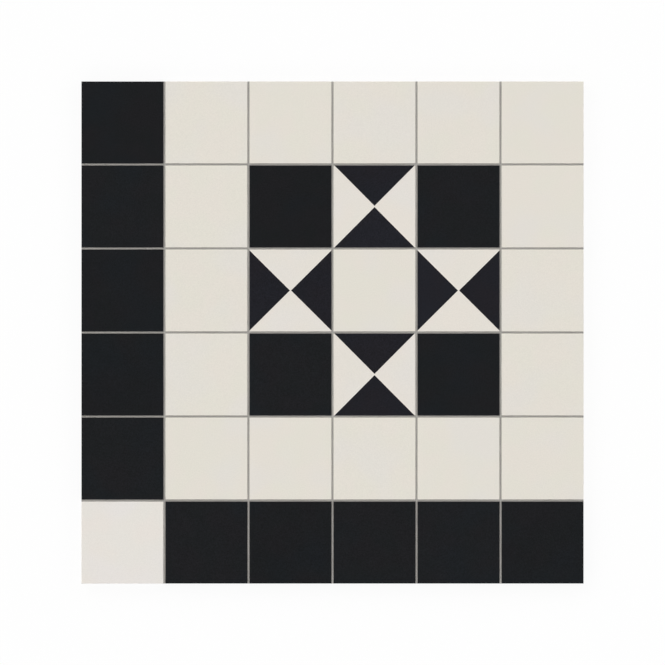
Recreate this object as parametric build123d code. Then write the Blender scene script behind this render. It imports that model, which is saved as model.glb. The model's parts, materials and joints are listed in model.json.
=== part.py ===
from build123d import *
import os
from math import radians, tan

# Mosaic tile: a square sheet of pressed porcelain squares with grouted joints on a fibre net.
# The face looks up (+Z), the top row of the pattern lies towards +Y and the first column towards -X.
# The origin is the middle of the sheet's underside. All sizes are in millimetres.

# Porcelain squares
TILE_SIDE = 49.6            # face of one square
TILE_THICKNESS = 6.3
FACE_EDGE_RADIUS = 0.3      # rounded rim of the face
SIDE_DRAFT = 1.5            # degrees, the sides narrow towards the back

# Keying grooves pressed into the back of each square
KEY_COUNT = 5
KEY_PITCH = 8.5
KEY_WIDTH = 4.0
KEY_LENGTH = 38.0           # the grooves stop short of the sides, so the back keeps a flat rim
KEY_DEPTH = 0.4

# Black triangles let into the star squares
INLAY_DEPTH = 2.0
INLAY_TIP_GAP = 0.7         # white left between the two tips
INLAY_CORNER_INSET = 0.5    # white left beside each end of a triangle's base

# Joints
JOINT_WIDTH = 1.2
GROUT_SETBACK = 0.35        # grout's shoulders below the face
GROUT_SAG = 0.15            # hollow left by the finishing float

# Fibre net glued to the back
NET_THICKNESS = 0.4         # two crossed layers of flat yarn
NET_INSET = 1.5             # bare margin between the net and the sheet's edge

# Pattern seen from above, first row at the top: B black, W white, S star square
PATTERN = (
    "BWWWWW",
    "BWBSBW",
    "BWSWSW",
    "BWBSBW",
    "BWWWWW",
    "WBBBBB",
)
STAR_ROW = 3                # row and column of the star's centre, counted from one
STAR_COLUMN = 4

# Derived sizes
COUNT = len(PATTERN)
PITCH = TILE_SIDE + JOINT_WIDTH
SHEET_SIDE = COUNT * PITCH - JOINT_WIDTH
BACK_Z = NET_THICKNESS
FACE_Z = BACK_Z + TILE_THICKNESS
GROUT_Z = FACE_Z - GROUT_SETBACK
DRAFT_SHIFT = TILE_THICKNESS * tan(radians(SIDE_DRAFT))


def drafted_slab(side):
    """Square slab with its face at FACE_Z, narrowing towards the back."""
    face_down = extrude(Rectangle(side, side), TILE_THICKNESS, taper=SIDE_DRAFT)
    return Pos(0, 0, FACE_Z) * Rot(180, 0, 0) * face_down


def cushion_tile():
    """One pressed square with a softly rounded rim round its face."""
    slab = drafted_slab(TILE_SIDE)
    rim = slab.faces().sort_by(Axis.Z)[-1].edges()
    return fillet(rim, FACE_EDGE_RADIUS)


def key_grooves():
    """Shallow parallel grooves in the back of a square."""
    groove = Box(KEY_WIDTH, KEY_LENGTH, KEY_DEPTH, align=(Align.CENTER, Align.CENTER, Align.MIN))
    return [Pos(0, 0, BACK_Z) * spot * groove for spot in GridLocations(KEY_PITCH, 0, KEY_COUNT, 1)]


def inlay_cutter():
    """Prism over the +Y triangle of a star square; it runs out past the square's side."""
    half_base = TILE_SIDE / 2 - INLAY_CORNER_INSET
    outside = TILE_SIDE / 2 + JOINT_WIDTH
    outline = Polyline(
        (0, INLAY_TIP_GAP / 2),
        (half_base, TILE_SIDE / 2),
        (half_base, outside),
        (-half_base, outside),
        (-half_base, TILE_SIDE / 2),
        close=True,
    )
    return extrude(Pos(0, 0, FACE_Z - INLAY_DEPTH) * make_face(outline), INLAY_DEPTH)


def tile_spot(row, column):
    """Middle of the square in this row and column, both counted from one."""
    middle = (COUNT + 1) / 2
    return Pos((column - middle) * PITCH, (middle - row) * PITCH, 0)


def star_turn(row, column):
    """Turn that brings the +Y triangle to the side that faces away from the star's centre."""
    if column == STAR_COLUMN:
        return Rot(0, 0, 0 if row < STAR_ROW else 180)
    return Rot(0, 0, 90 if column < STAR_COLUMN else -90)


def grout_grid(tile):
    """Grout between the squares: bars along every joint, trimmed to the squares' sides."""
    reach = JOINT_WIDTH + 4 * DRAFT_SHIFT
    height = GROUT_Z - BACK_Z
    on_back = (Align.CENTER, Align.CENTER, Align.MIN)
    joints = COUNT - 1
    upright = Pos(0, 0, BACK_Z) * Box(reach, SHEET_SIDE, height, align=on_back)
    bars = [spot * upright for spot in GridLocations(PITCH, 0, joints, 1)]
    level = Rot(0, 0, 90) * upright
    bars += [spot * level for spot in GridLocations(0, PITCH, 1, joints)]
    envelope = drafted_slab(SHEET_SIDE)
    grid = (Part() + bars) & envelope

    float_radius = (JOINT_WIDTH ** 2 / 4 + GROUT_SAG ** 2) / (2 * GROUT_SAG)
    float_z = GROUT_Z - GROUT_SAG + float_radius
    along_y = Pos(0, 0, float_z) * Rot(90, 0, 0) * Cylinder(float_radius, SHEET_SIDE + PITCH)
    along_x = Rot(0, 0, 90) * along_y
    floats = [spot * along_y for spot in GridLocations(PITCH, 0, joints, 1)]
    floats += [spot * along_x for spot in GridLocations(0, PITCH, 1, joints)]
    tiles = [tile_spot(r + 1, c + 1) * tile for r in range(COUNT) for c in range(COUNT)]
    return grid - tiles - floats


def backing_net():
    """Thin net across the backs, a little smaller than the sheet."""
    side = SHEET_SIDE - 2 * NET_INSET
    return Box(side, side, NET_THICKNESS, align=(Align.CENTER, Align.CENTER, Align.MIN))


def save(name, shape):
    export_step(shape, f"parts/{name}.step")


def main():
    os.makedirs("parts", exist_ok=True)
    blank = cushion_tile()
    plain = blank - key_grooves()
    cutter = inlay_cutter()
    inlay = blank & cutter
    opposite = Rot(0, 0, 180)
    star_body = plain - [cutter, opposite * cutter]

    for row, letters in enumerate(PATTERN, start=1):
        for column, letter in enumerate(letters, start=1):
            spot = tile_spot(row, column)
            place = f"r{row}_c{column}"
            if letter == "B":
                save(f"black_square_{place}", spot * plain)
            elif letter == "W":
                save(f"white_square_{place}", spot * plain)
            else:
                turn = star_turn(row, column)
                save(f"star_square_{place}", spot * turn * star_body)
                save(f"star_inlay_{place}_outer", spot * turn * inlay)
                save(f"star_inlay_{place}_inner", spot * turn * opposite * inlay)

    save("grout", grout_grid(blank))
    save("backing_net", backing_net())


if __name__ == "__main__":
    main()
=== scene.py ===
# %% [markdown]
# # A mosaic tile sheet, dressed for the camera
#
# The object is a square sheet of thirty-six porcelain squares: black and white, with a star let into
# four of them, grey grout in the joints and a fibre net behind. The solids come ready made and packed,
# each in its true place, so the first step is to load them as a fixed frame. Everything below is in
# metres in that same frame: the face looks up along +Z and the top row of the pattern lies towards +Y.

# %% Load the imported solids
import json
import math
import random
from collections import namedtuple

import bpy
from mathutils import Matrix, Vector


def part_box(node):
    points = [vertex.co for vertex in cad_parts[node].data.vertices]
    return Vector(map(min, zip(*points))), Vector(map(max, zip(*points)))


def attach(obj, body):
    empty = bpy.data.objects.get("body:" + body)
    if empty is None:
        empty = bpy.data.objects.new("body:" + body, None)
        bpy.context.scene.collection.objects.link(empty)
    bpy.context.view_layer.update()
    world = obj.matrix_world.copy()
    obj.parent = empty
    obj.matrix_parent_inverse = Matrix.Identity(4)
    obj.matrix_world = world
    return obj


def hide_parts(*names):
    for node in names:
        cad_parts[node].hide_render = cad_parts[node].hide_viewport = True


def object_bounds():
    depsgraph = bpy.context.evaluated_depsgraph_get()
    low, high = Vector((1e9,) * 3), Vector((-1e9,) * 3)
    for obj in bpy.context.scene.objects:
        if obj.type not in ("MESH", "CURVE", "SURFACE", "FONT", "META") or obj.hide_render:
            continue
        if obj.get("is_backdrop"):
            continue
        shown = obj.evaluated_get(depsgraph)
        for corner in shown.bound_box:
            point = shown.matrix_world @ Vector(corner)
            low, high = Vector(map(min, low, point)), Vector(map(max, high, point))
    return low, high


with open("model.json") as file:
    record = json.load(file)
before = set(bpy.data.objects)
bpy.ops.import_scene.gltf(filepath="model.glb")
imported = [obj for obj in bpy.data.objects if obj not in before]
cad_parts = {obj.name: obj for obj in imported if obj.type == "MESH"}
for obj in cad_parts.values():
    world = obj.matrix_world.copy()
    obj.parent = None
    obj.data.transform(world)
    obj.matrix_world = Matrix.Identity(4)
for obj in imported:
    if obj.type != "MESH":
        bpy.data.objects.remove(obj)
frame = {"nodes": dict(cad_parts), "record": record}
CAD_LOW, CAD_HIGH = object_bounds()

print("solids loaded:", len(frame["nodes"]))
print("sheet size in mm:", [round(1000 * s, 2) for s in CAD_HIGH - CAD_LOW])

# %% [markdown]
# ## Reading the grid
#
# Some finishes need to know how far a point is from the nearest joint, for instance to put a trace of
# grout along the rim of each square. The sizes could be typed in again, but then they would go wrong as
# soon as a solid changed. The squares repeat at one even pitch and the sheet's middle lies on a joint,
# so it is enough to measure two neighbouring squares.

# %% Measure the pitch, the joint and the heights of back and face
first_low, first_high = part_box("black_square_r6_c2")
next_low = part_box("black_square_r6_c3")[0]
PITCH = next_low.x - first_low.x
JOINT = next_low.x - first_high.x
BACK_Z = first_low.z
FACE_Z = first_high.z

print("pitch %.2f mm, joint %.2f mm" % (1000 * PITCH, 1000 * JOINT))
print("back at %.2f mm, face at %.2f mm" % (1000 * BACK_Z, 1000 * FACE_Z))

# %% [markdown]
# ## Colours as they are seen
#
# A person points at a colour on a screen, where it is three values from 0 to 255. The shader works with
# amounts of light instead, and the two scales differ most in the darks, which matters for black squares.
# A plain square of the value would come close, but the true curve has a short straight toe near black.
# This helper follows that curve, so that every finish below can be written as it is seen.

# %% Turn a screen colour into light
TOE_END = 0.04045
TOE_SLOPE = 12.92
CURVE_LIFT = 0.055
CURVE_POWER = 2.4


def light_of(red, green, blue):
    """Linear RGBA of a colour given as three screen values from 0 to 255."""
    out = []
    for value in (red, green, blue):
        share = value / 255
        curve = ((share + CURVE_LIFT) / (1 + CURVE_LIFT)) ** CURVE_POWER
        out.append(share / TOE_SLOPE if share <= TOE_END else curve)
    return (*out, 1.0)


print("a screen grey of 128 is", round(light_of(128, 128, 128)[0], 3), "of full light")

# %% [markdown]
# ## A workbench for one finish
#
# A finish is a graph of nodes that ends in one Principled shader. It could be wired by hand in the
# shader editor, but a script can be read and repeated. Each node takes three or four lines to make and
# link, so this class keeps the graph and adds one node per call: a plain value is written into the
# socket that is named, and another node's output is linked to it.

# %% The workbench
class Finish:
    """One material and the nodes that feed its Principled shader."""

    def __init__(self, name):
        self.material = bpy.data.materials.new(name)
        self.material.use_nodes = True
        self.tree = self.material.node_tree
        self.shader = self.tree.nodes["Principled BSDF"]

    def feed(self, socket, value):
        """Link an output to a socket, or write a plain value into it."""
        if isinstance(value, bpy.types.NodeSocket):
            self.tree.links.new(value, socket)
        else:
            socket.default_value = value

    def add(self, kind, inputs=None, **settings):
        """New node of this kind, with its inputs fed by name or number."""
        node = self.tree.nodes.new("ShaderNode" + kind)
        for key, value in settings.items():
            setattr(node, key, value)
        for key, value in (inputs or {}).items():
            self.feed(node.inputs[key], value)
        return node

    def finish_with(self, **sockets):
        """Feed the shader's own sockets and hand over the material."""
        for name, value in sockets.items():
            self.feed(self.shader.inputs[name.replace("_", " ")], value)
        return self.material


print("workbench ready")

# %% [markdown]
# ## Four steps that every finish uses
#
# Porcelain, grout and yarn look different, yet the same four steps make all of them: blotches of soft
# noise at a stated size, a ramp that picks out part of a range, a tint that mixes two colours, and plain
# sums. Each could be set up again wherever it is needed, but with functions a finish reads like a recipe.

# %% Blotches, ramps, tints and sums
def blotches(finish, where, size, detail=2.0, roughness=0.5):
    """Soft random values from 0 to 1 whose blotches are about size metres across."""
    inputs = {"Vector": where, "Scale": 1 / size, "Detail": detail, "Roughness": roughness}
    return finish.add("TexNoise", inputs).outputs["Fac"]


def ramp(finish, value, start, end, low=0.0, high=1.0):
    """Runs smoothly from low to high while value goes from start to end."""
    inputs = {"Value": value, "From Min": start, "From Max": end, "To Min": low, "To Max": high}
    return finish.add("MapRange", inputs, interpolation_type="SMOOTHSTEP").outputs["Result"]


def tint(finish, amount, first, second, blend="MIX"):
    """Mixes the second colour into the first by this amount."""
    node = finish.add("Mix", data_type="RGBA", blend_type=blend)
    for key, value in (("Factor", amount), ("A", first), ("B", second)):
        finish.feed(node.inputs[key], value)
    return node.outputs["Result"]


def reckon(finish, operation, *values, clamp=False):
    """One sum of plain numbers or outputs."""
    node = finish.add("Math", dict(enumerate(values)), operation=operation, use_clamp=clamp)
    return node.outputs[0]


print("four steps ready")

# %% [markdown]
# ## Three ways to use noise
#
# Noise alone is a grey fog around one half. A veil keeps only its thick places, for clouds and smears. A
# spread stretches its usual range to two other values, for a grain. A bump lets it press the surface in.
# A veil has many numbers, so each one gets a name and is written down once, like a recipe card.

# %% Veils, spreads and bumps
Veil = namedtuple("Veil", "size start end amount detail roughness least", defaults=(2.0, 0.5, 0.0))
FOG_LOW = 0.3
FOG_HIGH = 0.7


def veil(finish, where, card):
    """Noise that goes from card.least to card.amount between two of its levels."""
    noise = blotches(finish, where, card.size, card.detail, card.roughness)
    return ramp(finish, noise, card.start, card.end, card.least, card.amount)


def spread(finish, noise, low, high):
    """Noise with its usual range stretched from low to high."""
    return ramp(finish, noise, FOG_LOW, FOG_HIGH, low, high)


def bump(finish, height, strength, depth, **under):
    """Surface direction pressed in by height, over another bump if Normal is given."""
    return finish.add("Bump", {"Strength": strength, "Distance": depth, "Height": height, **under}).outputs[0]


print("noise is read from", FOG_LOW, "to", FOG_HIGH)

# %% [markdown]
# ## How far it is to the joint
#
# The rims of the squares carry a trace of grout, and the grout is painted darker where it meets them, as
# shade in the corner of the joint. Both need the distance to the edge of a square. It could be painted on
# by hand, point by point, but the grid is even: folding the sheet at every joint and at every middle, as a
# sum can, gives the distance to the nearest joint line anywhere. Half a joint less than that is the distance
# to the edge.

# %% Distance to the edge of a square
def edge_distance(finish, where):
    """Metres to the nearest edge: above zero on a square, below zero in a joint."""
    spot = finish.add("SeparateXYZ", {0: where})
    across = reckon(finish, "PINGPONG", spot.outputs["X"], PITCH / 2)
    along = reckon(finish, "PINGPONG", spot.outputs["Y"], PITCH / 2)
    return reckon(finish, "SUBTRACT", reckon(finish, "MINIMUM", across, along), JOINT / 2)


print("the fold repeats every %.1f mm" % (1000 * PITCH))

# %% [markdown]
# ## Where a point lies on its square
#
# Several things change over one porcelain square. Each square was pressed from its own scoop of clay, so
# its pattern is shifted by a random amount. The face is finer than the sides and the back, which only
# touched the mould. And the back has ribs that stand proud of its grooves. A picture wrapped round the
# solid could hold all that, but these solids carry no such wrapping. The piece's own coordinates and
# surface direction serve as well, and they stay put from every side.

# %% Shared clay coordinates
Clay = namedtuple("Clay", "own face ribs edge chance")
SCOOP_SHIFT = {"X": 7.0, "Y": 13.0, "Z": 29.0}
LEVEL_START = 0.6
LEVEL_SURE = 0.95
RIB_SURE = 0.0001
RIB_END = 0.0003


def clay_places(finish):
    """Own texture place, face and rib amounts, distance to the square's edge and a random number."""
    place = finish.add("TexCoord")
    where = place.outputs["Object"]
    chance = finish.add("ObjectInfo").outputs["Random"]
    steps = {axis: reckon(finish, "MULTIPLY", chance, far) for axis, far in SCOOP_SHIFT.items()}
    shift = finish.add("CombineXYZ", steps).outputs[0]
    own = finish.add("VectorMath", {0: where, 1: shift}, operation="ADD").outputs[0]

    up = finish.add("SeparateXYZ", {0: place.outputs["Normal"]}).outputs["Z"]
    face = ramp(finish, up, LEVEL_START, LEVEL_SURE)
    below = ramp(finish, up, -LEVEL_START, -LEVEL_SURE)
    height = finish.add("SeparateXYZ", {0: where}).outputs["Z"]
    proud = ramp(finish, height, BACK_Z + RIB_SURE, BACK_Z + RIB_END, 1.0, 0.0)
    ribs = reckon(finish, "MULTIPLY", below, proud)
    return Clay(own, face, ribs, edge_distance(finish, where), chance)


print("each square's pattern is shifted by up to", SCOOP_SHIFT, "metres")

# %% [markdown]
# ## Porcelain: the colour
#
# The squares are unglazed porcelain, coloured all through and pressed from fine powder. Close up such a
# face is even but not flat in colour: soft clouds a centimetre or two wide drift between a warmer and a
# cooler shade, under a fine grain of powder, and no two squares are quite alike. The ribs of the backs
# keep a chalky film of the white wash that is rolled on to stop tiles from sticking in the kiln. Noise
# suits all of this, because it has no edges and never repeats.

# %% Colour of the clay
CLOUDS = Veil(size=0.017, start=0.35, end=0.65, amount=0.6, detail=1.5)
DRIFT = Veil(size=0.031, start=0.45, end=0.7, amount=0.6, detail=1.0)
KILN_FILM = Veil(size=0.0016, start=0.35, end=0.65, amount=0.3, detail=4.0, roughness=0.65, least=0.03)
KILN_WASH = (196, 193, 186)
RIM_WIDTH = 0.0006
RIM_RAGGED = 0.0002
RIM_HAZE = 0.15


def clay_colour(finish, clay, powder, main, warm, cool, rim, grain, batch):
    """Clouds, powder grain, the square's own batch, grout on the rim and kiln wash on the back."""
    colour = tint(finish, veil(finish, clay.own, CLOUDS), light_of(*main), light_of(*warm))
    colour = tint(finish, veil(finish, clay.own, DRIFT), colour, light_of(*cool))

    dust = spread(finish, powder, 1 - grain, 1 + grain)
    lot = ramp(finish, clay.chance, 0.0, 1.0, 1 - batch, 1 + batch)
    colour = tint(finish, 1.0, colour, reckon(finish, "MULTIPLY", dust, lot), blend="MULTIPLY")

    ragged = reckon(finish, "ADD", clay.edge, spread(finish, powder, -RIM_RAGGED, RIM_RAGGED))
    colour = tint(finish, ramp(finish, ragged, RIM_WIDTH, 0.0, 0.0, RIM_HAZE), colour, light_of(*rim))

    film = reckon(finish, "MULTIPLY", clay.ribs, veil(finish, clay.own, KILN_FILM))
    return tint(finish, film, colour, light_of(*KILN_WASH))


print("clouds of %.0f and %.0f mm" % (1000 * CLOUDS.size, 1000 * DRIFT.size))

# %% [markdown]
# ## Porcelain: the surface
#
# A polished tile would mirror the room. This one is dull: its powder leaves tiny pits, the press leaves
# very shallow waves, and the sides and back are rougher still. The rounded rims are already in the
# solids, so bump only has to add what is finer than a tenth of a millimetre. One recipe serves every
# colour; only the shades change.

# %% The porcelain recipe
SATIN = Veil(size=0.009, start=FOG_LOW, end=FOG_HIGH, amount=1.03, detail=3.0, least=0.97)
FACE_ROUGHNESS = 0.56
SIDE_ROUGHNESS = 0.8
GLOSS = 0.14
POWDER_SIZE = 0.0006
PRESS_SIZE = 0.012
PRESS_STRENGTH = 0.2
PRESS_DEPTH = 0.00012
PIT_SIZE = 0.0008
PIT_STRENGTH = 0.25
PIT_DEPTH = 0.00006


def porcelain(name, **shades):
    """Unglazed porcelain in these shades."""
    finish = Finish(name)
    clay = clay_places(finish)
    powder = blotches(finish, clay.own, POWDER_SIZE, detail=3.0, roughness=0.7)
    colour = clay_colour(finish, clay, powder, **shades)

    satin = veil(finish, clay.own, SATIN)
    dull = ramp(finish, clay.face, 0.0, 1.0, SIDE_ROUGHNESS, FACE_ROUGHNESS)
    rough = reckon(finish, "MULTIPLY", satin, dull)

    waves = bump(finish, blotches(finish, clay.own, PRESS_SIZE), PRESS_STRENGTH, PRESS_DEPTH)
    pits = blotches(finish, clay.own, PIT_SIZE, detail=4.0, roughness=0.65)
    skin = bump(finish, pits, PIT_STRENGTH, PIT_DEPTH, Normal=waves)
    return finish.finish_with(Base_Color=colour, Roughness=rough, Normal=skin, Specular_IOR_Level=GLOSS)


print("porcelain recipe ready")

# %% [markdown]
# ## Mixing the five clays
#
# The field is a warm off-white. The corner square comes from a lighter batch, and the star squares from
# one a touch cooler. The two blacks differ as well: the plain squares are neutral, while the triangles
# let into the star squares lean towards violet. Black shows its grain and its batches more than white,
# so these two amounts are set apart for each.

# %% Mix the porcelain colours
WHITE_LIFE = {"grain": 0.035, "batch": 0.002}
BLACK_LIFE = {"grain": 0.4, "batch": 0.06}
CLAYS = {
    "white_porcelain": dict(main=(226, 222, 211), warm=(228, 221, 212), cool=(225, 221, 215),
                            rim=(214, 209, 199), **WHITE_LIFE),
    "corner_white_porcelain": dict(main=(229, 225, 218), warm=(231, 224, 217), cool=(229, 225, 222),
                                   rim=(217, 212, 205), **WHITE_LIFE),
    "star_white_porcelain": dict(main=(227, 222, 213), warm=(229, 222, 213), cool=(226, 222, 217),
                                 rim=(215, 209, 201), **WHITE_LIFE),
    "black_porcelain": dict(main=(22, 24, 26), warm=(25, 24, 27), cool=(20, 25, 29),
                            rim=(44, 43, 43), **BLACK_LIFE),
    "star_black_porcelain": dict(main=(28, 28, 34), warm=(30, 28, 33), cool=(27, 29, 36),
                                 rim=(46, 45, 47), **BLACK_LIFE),
}
FINISHES = {name: porcelain(name, **shades) for name, shades in CLAYS.items()}
print("clays mixed:", ", ".join(FINISHES))

# %% [markdown]
# ## Grout: the colour
#
# The joints hold a fine cement grout. Cement dries matte and cloudy, with pale lime bloom and darker grit,
# and its colour is darkened as painted shade where it meets the squares. The three could be painted on one
# picture of the sheet, but such a picture would have to be very large to show grit. Noise and the distance
# to the squares give the same at any size.

# %% Colour of the grout
BLOOM = Veil(size=0.014, start=0.35, end=0.7, amount=0.6, detail=3.0)
GRIT_START = 0.5
GRIT_END = 0.75
GRIT_SHADE = 0.5
# where and how strongly the grout is darkened as painted shade along the squares
PAINTED_SHADE_START = -0.00035
PAINTED_SHADE_END = -0.0001
PAINTED_SHADE_AMOUNT = 0.75


def grout_colour(finish, where, grit, main, pale, grit_and_shade):
    """Cement with lime bloom, darker grit, and painted shade along the squares."""
    colour = tint(finish, veil(finish, where, BLOOM), light_of(*main), light_of(*pale))
    specks = ramp(finish, grit, GRIT_START, GRIT_END, 0.0, GRIT_SHADE)
    colour = tint(finish, specks, colour, light_of(*grit_and_shade))
    # painted shade: the grout is darkened along the squares, where the corner of the hollow joint lies in
    # shade
    painted_shade = ramp(finish, edge_distance(finish, where), PAINTED_SHADE_START, PAINTED_SHADE_END, 0.0, PAINTED_SHADE_AMOUNT)
    return tint(finish, painted_shade, colour, light_of(*grit_and_shade))


print("grime keeps to the outer %.2f mm of a joint" % (-1000 * PAINTED_SHADE_START))

# %% [markdown]
# ## Grout: the surface
#
# The float wipes the joints a little hollow, and air leaves pinholes. The hollow is in the solid. The
# pinholes could be cut into a mesh, but there are thousands and each is smaller than a grain of sand, so
# a pattern of scattered cells stands for them: near its middle each cell is pressed in, and its colour is
# darkened there as painted shade in the hole.

# %% Mix the grout
GRIT_SIZE = 0.0005
GRIT_STRENGTH = 0.7
GRIT_DEPTH = 0.00015
PINHOLE_PITCH = 0.0016
PINHOLE_RIM = 0.16
PINHOLE_FLOOR = 0.06
PINHOLE_PAINTED_SHADE = 0.5
PINHOLE_DEPTH = 1.5
GROUT_FINE = 0.82
GROUT_COARSE = 0.95
GROUT_GLOSS = 0.25


def cement_grout(name, main, pale, grit_and_shade):
    """Matte cement grout in these shades."""
    finish = Finish(name)
    where = finish.add("TexCoord").outputs["Object"]
    grit = blotches(finish, where, GRIT_SIZE, detail=3.0, roughness=0.7)
    colour = grout_colour(finish, where, grit, main, pale, grit_and_shade)

    cells = finish.add("TexVoronoi", {"Vector": where, "Scale": 1 / PINHOLE_PITCH, "Randomness": 1.0})
    pinhole = ramp(finish, cells.outputs["Distance"], PINHOLE_RIM, PINHOLE_FLOOR)
    # painted shade: the middle of each pinhole is darkened in colour as shade in the hole, besides being
    # pressed in
    colour = tint(finish, reckon(finish, "MULTIPLY", pinhole, PINHOLE_PAINTED_SHADE), colour, light_of(*grit_and_shade))
    height = reckon(finish, "SUBTRACT", grit, reckon(finish, "MULTIPLY", pinhole, PINHOLE_DEPTH))
    skin = bump(finish, height, GRIT_STRENGTH, GRIT_DEPTH)
    rough = spread(finish, grit, GROUT_FINE, GROUT_COARSE)
    return finish.finish_with(Base_Color=colour, Roughness=rough, Normal=skin, Specular_IOR_Level=GROUT_GLOSS)


# the darkest grey serves the real grit and also the painted shade in the pinholes and along the squares
FINISHES["grout"] = cement_grout("grout", main=(168, 165, 160), pale=(177, 174, 169), grit_and_shade=(132, 129, 125))
print("grout mixed, pinholes about %.1f mm apart" % (1000 * PINHOLE_PITCH))

# %% [markdown]
# ## Giving every solid its finish
#
# Thirty-six squares, eight triangles and one grid of grout could each be given a finish by name. The
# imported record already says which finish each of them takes, so a loop over it is shorter and leaves
# none out. The solids keep their shape, and only their material slots change.

# %% Paint the solids
SLOT_OF = {part["node"]: part["material_slot"] for part in frame["record"]["subparts"]}


def paint(node):
    """Give one solid the finish that the record names for it."""
    mesh = frame["nodes"][node].data
    mesh.materials.clear()
    mesh.materials.append(FINISHES[SLOT_OF[node]])
    for polygon in mesh.polygons:
        polygon.material_index = 0


painted = [node for node, slot in SLOT_OF.items() if slot in FINISHES]
for node in painted:
    paint(node)
print("painted", len(painted), "solids")

# %% [markdown]
# ## One yarn of the net
#
# The squares are held by a net of coated glass fibre, glued across their backs. Each yarn is a flat
# bundle that passes over one crossing yarn and under the next, spreading a little between them. A flat
# sheet with a pattern of holes would give the size but not the weave, so each yarn is built as a
# flattened tube: rings of points along a line that rises and falls by half a yarn at every crossing.

# %% Rings of one flattened yarn
YARN_PITCH = 0.005
YARN_WIDTH = 0.0008
YARN_THICKNESS = 0.00018
YARN_SPREAD = 0.12
YARN_THINNING = 0.15
YARN_UNEVEN = 0.06
YARN_SWAY = 0.00006
WEAVE_RISE = 0.0001
FRAYED_END = 0.0008
RING_POINTS = 8
RING_ANGLES = [2 * math.pi * k / RING_POINTS for k in range(RING_POINTS)]
SAMPLE_LENGTH = 0.05


def yarn_rings(length, phase, chance):
    """Rings of one yarn laid along +X: two per crossing, each a list of (x, y, z)."""
    crossings = int(length / 2 / YARN_PITCH)
    stations = [i * YARN_PITCH / 2 for i in range(-2 * crossings, 2 * crossings + 1)]
    stations = [-length / 2 + chance.uniform(0, FRAYED_END)] + stations
    stations += [length / 2 - chance.uniform(0, FRAYED_END)]
    rings = []
    for x in stations:
        turn = math.cos(math.pi * (x / YARN_PITCH + phase))
        wide = YARN_WIDTH / 2 * (1 + YARN_SPREAD * (1 - 2 * abs(turn)))
        wide *= chance.uniform(1 - YARN_UNEVEN, 1 + YARN_UNEVEN)
        thick = YARN_THICKNESS / 2 * (1 - YARN_THINNING * (1 - abs(turn)))
        sway = chance.uniform(-YARN_SWAY, YARN_SWAY)
        rise = WEAVE_RISE * turn
        rings.append([(x, sway + wide * math.cos(a), rise + thick * math.sin(a)) for a in RING_ANGLES])
    return rings


sample = yarn_rings(SAMPLE_LENGTH, 0, random.Random(1))
print("a short yarn has", len(sample), "rings of", RING_POINTS, "points")

# %% [markdown]
# ## Skin of one yarn
#
# The rings become a closed tube when each is joined to the next by a band of four-sided faces and the
# two ends are capped. A bridge tool could join the rings as well, but the numbers of the points are known
# here, so the faces can be written down at once. The order of the corners decides which side of a face is
# outside: seen from outside they run anticlockwise.

# %% Faces between the rings
def yarn_faces(start, ring_count):
    """Bands between the rings and a cap at each end, numbered from the yarn's first point."""
    faces = []
    for ring in range(ring_count - 1):
        for k in range(RING_POINTS):
            a = start + ring * RING_POINTS + k
            b = start + ring * RING_POINTS + (k + 1) % RING_POINTS
            faces.append((a, b, b + RING_POINTS, a + RING_POINTS))
    end = start + (ring_count - 1) * RING_POINTS
    faces.append(tuple(start + k for k in reversed(range(RING_POINTS))))
    faces.append(tuple(end + k for k in range(RING_POINTS)))
    return faces


print("the short yarn has", len(yarn_faces(0, len(sample))), "faces")

# %% [markdown]
# ## Weaving all the yarns
#
# One direction of yarns becomes one piece. A single yarn could be repeated by an Array modifier, but then
# all would be alike, so each is made with its own random numbers. Neighbouring yarns start half a wave
# apart, and the other direction is shifted by the same half wave, so that wherever one is up the other is
# down. The pieces fill the space that the net's own thin solid holds.

# %% Weave one direction
def net_layer(name, turned, seed):
    """All yarns of one direction as one piece, along +X or turned along +Y."""
    low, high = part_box("backing_net")
    length = high.x - low.x
    middle = (low.z + high.z) / 2
    chance = random.Random(seed)
    each_side = int((length - 2 * YARN_WIDTH) / 2 / YARN_PITCH)
    points, faces = [], []
    for line in range(-each_side, each_side + 1):
        rings = yarn_rings(length, line + (1 if turned else 0), chance)
        faces += yarn_faces(len(points), len(rings))
        for x, y, z in (point for ring in rings for point in ring):
            y += line * YARN_PITCH
            points.append((-y, x, z + middle) if turned else (x, y, z + middle))
    mesh = bpy.data.meshes.new(name)
    mesh.from_pydata(points, [], faces)
    mesh.shade_smooth()
    piece = bpy.data.objects.new(name, mesh)
    bpy.context.scene.collection.objects.link(piece)
    print(name, "has", 2 * each_side + 1, "yarns and", len(faces), "faces")
    return piece


net_weft = net_layer("net_weft", turned=False, seed=11)
net_warp = net_layer("net_warp", turned=True, seed=12)

# %% [markdown]
# ## Coated glass fibre
#
# Each yarn is a bundle of fine filaments in a white coating that stiffens the net, with smears of the
# glue that holds the squares. Fine streaks along the yarn show the filaments; the smears are smoother
# and slightly yellow. Single filaments would need far too many points. Noise that is stretched along the
# yarn looks the same, so the two directions stretch it along different axes.

# %% Mix the yarn finish
FILAMENT_SIZE = 0.00012
FILAMENT_STRETCH = 0.05
FILAMENT_STRENGTH = 0.5
FILAMENT_DEPTH = 0.00004
STRAND_DARK = (205, 203, 195)
STRAND_PALE = (228, 226, 219)
STRAND_ROUGHNESS = 0.62
GLUE_SMEAR = Veil(size=0.011, start=0.5, end=0.62, amount=1.0)
GLUE_YELLOW = (219, 212, 192)
GLUE_AMOUNT = 0.7
GLUE_ROUGHNESS = 0.34


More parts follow.
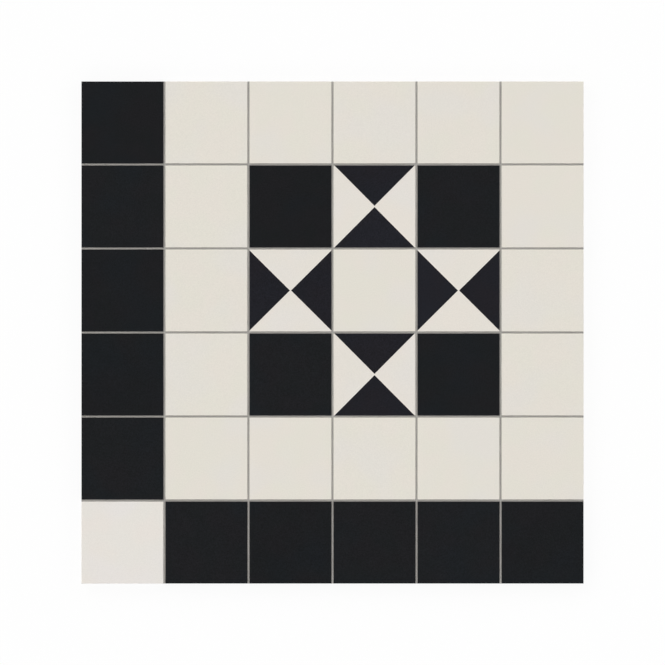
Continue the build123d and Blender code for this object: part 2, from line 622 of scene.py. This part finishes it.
def coated_yarn(name, stretch):
    """Coated yarn whose filaments are drawn out along one axis."""
    finish = Finish(name)
    place = finish.add("TexCoord").outputs["Object"]
    drawn = finish.add("Mapping", {"Vector": place, "Scale": stretch}).outputs[0]
    filaments = blotches(finish, drawn, FILAMENT_SIZE)
    smear = veil(finish, place, GLUE_SMEAR)
    strands = spread(finish, filaments, 0.0, 1.0)
    colour = tint(finish, strands, light_of(*STRAND_DARK), light_of(*STRAND_PALE))
    glue = reckon(finish, "MULTIPLY", smear, GLUE_AMOUNT)
    colour = tint(finish, glue, colour, light_of(*GLUE_YELLOW))
    rough = ramp(finish, smear, 0.0, 1.0, STRAND_ROUGHNESS, GLUE_ROUGHNESS)
    skin = bump(finish, filaments, FILAMENT_STRENGTH, FILAMENT_DEPTH)
    return finish.finish_with(Base_Color=colour, Roughness=rough, Normal=skin)


net_weft.data.materials.append(coated_yarn("glass_yarn_weft", (FILAMENT_STRETCH, 1.0, 1.0)))
net_warp.data.materials.append(coated_yarn("glass_yarn_warp", (1.0, FILAMENT_STRETCH, 1.0)))
print("yarn finish mixed for both directions")

# %% [markdown]
# ## Hanging the net
#
# The net is glued to the squares and nothing on this sheet moves, so both directions ride on the one
# body that everything belongs to. The net's thin solid is then hidden.

# %% Fix the net under the squares
for piece in (net_weft, net_warp):
    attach(piece, "root")
    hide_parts("backing_net")
print("net fixed under the squares")

# %% [markdown]
# ## Floor
#
# The sheet lies on a plain white floor, so wide that its far edge stays out of all but the lowest views.
# A bright lamp could burn the floor to white, but it would burn the white squares as well. Here most of
# the white that the camera sees is a glow that lights nothing else, and rays mirrored by the porcelain
# see it too. A small share stays an ordinary matte surface, so the sheet keeps its soft shadow, and all
# other light meets a plain white floor.

# %% Lay the floor
FLOOR_GAP = 0.0001
FLOOR_Z = CAD_LOW.z - FLOOR_GAP
FLOOR_HALF = 40.0
corners = [(FLOOR_HALF * x, FLOOR_HALF * y, FLOOR_Z) for x, y in ((-1, -1), (1, -1), (1, 1), (-1, 1))]
floor_mesh = bpy.data.meshes.new("floor")
floor_mesh.from_pydata(corners, [], [(0, 1, 2, 3)])
floor = bpy.data.objects.new("floor", floor_mesh)
bpy.context.scene.collection.objects.link(floor)
floor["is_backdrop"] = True
print("floor laid at %.2f mm" % (1000 * FLOOR_Z))

# %% Paint the floor
FLOOR_WHITE = (245, 245, 245)
FLOOR_ROUGHNESS = 0.9
FLOOR_GLOW = 0.93
PURE_WHITE = (1, 1, 1, 1)
white = Finish("floor_white")
white.finish_with(Base_Color=light_of(*FLOOR_WHITE), Roughness=FLOOR_ROUGHNESS, Specular_IOR_Level=0.0)
rays = white.add("LightPath").outputs
seen = reckon(white, "ADD", rays["Is Camera Ray"], rays["Is Glossy Ray"])
seen = reckon(white, "ADD", seen, rays["Is Transmission Ray"], clamp=True)
glow = white.add("Emission", {"Color": PURE_WHITE, "Strength": 1.0}).outputs[0]
share = reckon(white, "MULTIPLY", seen, FLOOR_GLOW)
surface = white.add("MixShader", {0: share, 1: white.shader.outputs[0], 2: glow}).outputs[0]
white.feed(white.tree.nodes["Material Output"].inputs["Surface"], surface)
floor_mesh.materials.append(white.material)
print("floor glows with %.0f %% of its white" % (100 * FLOOR_GLOW))

# %% [markdown]
# ## Ring of soft light
#
# The picture shows very even light and no glare on the black squares. A camera straight above sees the
# space overhead mirrored in every flat face, so that space is kept dim, and the light comes from a broad
# band all round, like a ring of white screens. Four area lamps could do it, but each would leave its own
# bright spot in the sheen. A world that changes only with height has none. The band is dimmer near the
# floor, so that the white sides of the sheet don't burn out.

# %% Measure height in the world
world = bpy.data.worlds.new("studio")
bpy.context.scene.world = world
world.use_nodes = True
sky = world.node_tree
direction = sky.nodes.new("ShaderNodeTexCoord")
height = sky.nodes.new("ShaderNodeSeparateXYZ")
sky.links.new(direction.outputs["Generated"], height.inputs[0])


def screen_edge(start, end, low, high):
    """Brightness that runs from low to high as a direction climbs from start to end."""
    edge = sky.nodes.new("ShaderNodeMapRange")
    edge.interpolation_type = "SMOOTHSTEP"
    for socket, value in (("From Min", start), ("From Max", end), ("To Min", low), ("To Max", high)):
        edge.inputs[socket].default_value = value
    sky.links.new(height.outputs["Z"], edge.inputs["Value"])
    return edge.outputs["Result"]


print("height runs from -1 below to 1 overhead")

# %% Light the ring of screens
LOWER_EDGE = (0.1, 0.4)
UPPER_EDGE = (0.45, 0.8)
LOW_LIGHT = 0.72
RING_LIGHT = 2.37
OVERHEAD_SHARE = 0.012
ring = sky.nodes.new("ShaderNodeMath")
ring.operation = "MULTIPLY"
sky.links.new(screen_edge(*LOWER_EDGE, LOW_LIGHT, RING_LIGHT), ring.inputs[0])
sky.links.new(screen_edge(*UPPER_EDGE, 1.0, OVERHEAD_SHARE), ring.inputs[1])
sky.links.new(ring.outputs[0], sky.nodes["Background"].inputs["Strength"])
sky.nodes["Background"].inputs["Color"].default_value = PURE_WHITE
print("ring of light from %.2f to %.2f of the way up" % (LOWER_EDGE[0], UPPER_EDGE[1]))

# %% [markdown]
# ## A soft sun
#
# Light that is equal on all sides would leave the rims and the hollow joints without any shape. A lamp
# near the sheet would do, but it would light one side more than the other. A weak, very broad sun from
# the upper left adds the same hint of direction everywhere, and no hard shadow.

# %% Add the sun
SUN_STRENGTH = 0.83
SUN_BREADTH = math.radians(35)
SUN_TILT = math.radians(55)
SUN_TURN = math.radians(225)
sun = bpy.data.lights.new("soft_sun", "SUN")
sun.energy = SUN_STRENGTH
sun.angle = SUN_BREADTH
sun_object = bpy.data.objects.new("soft_sun", sun)
sun_object.rotation_euler = (SUN_TILT, 0, SUN_TURN)
bpy.context.scene.collection.objects.link(sun_object)
print("soft sun of %.2f from the upper left" % SUN_STRENGTH)

# %% [markdown]
# ## Camera
#
# The picture looks straight down and shows no perspective. An orthographic camera would give that, but
# a long lens far above gives it as well and still works when the camera is moved round the sheet. The
# sheet fills 502 of the picture's 665 pixels, which fixes the width of the view, and the width and the
# lens together fix the height.

# %% Set the camera
PICTURE_PIXELS = 665
SHEET_PIXELS = 502.15
LENS_MM = 300
SENSOR_MM = 36
FAR_END = 100
camera = bpy.data.cameras.new("overhead")
camera.lens = LENS_MM
camera.sensor_width = SENSOR_MM
camera.clip_end = FAR_END
view_width = (CAD_HIGH.x - CAD_LOW.x) * PICTURE_PIXELS / SHEET_PIXELS
distance = view_width * LENS_MM / SENSOR_MM
camera_object = bpy.data.objects.new("overhead", camera)
camera_object.location = (0, 0, FACE_Z + distance)
bpy.context.scene.collection.objects.link(camera_object)
bpy.context.scene.camera = camera_object
bpy.context.scene.view_settings.view_transform = "Standard"
print("camera %.2f m above the face, view %.1f mm wide" % (distance, 1000 * view_width))

# %% [markdown]
# ## Last look
#
# The dressed sheet has to keep to the size of its solids. It could be judged by eye, but a tenth of a
# millimetre doesn't show, so the two boxes are set side by side and their largest difference is printed.

# %% Compare the boxes
LOW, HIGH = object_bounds()
changes = [abs(new - old) for new, old in zip((*LOW, *HIGH), (*CAD_LOW, *CAD_HIGH))]
print("largest change of size: %.3f mm" % (1000 * max(changes)))
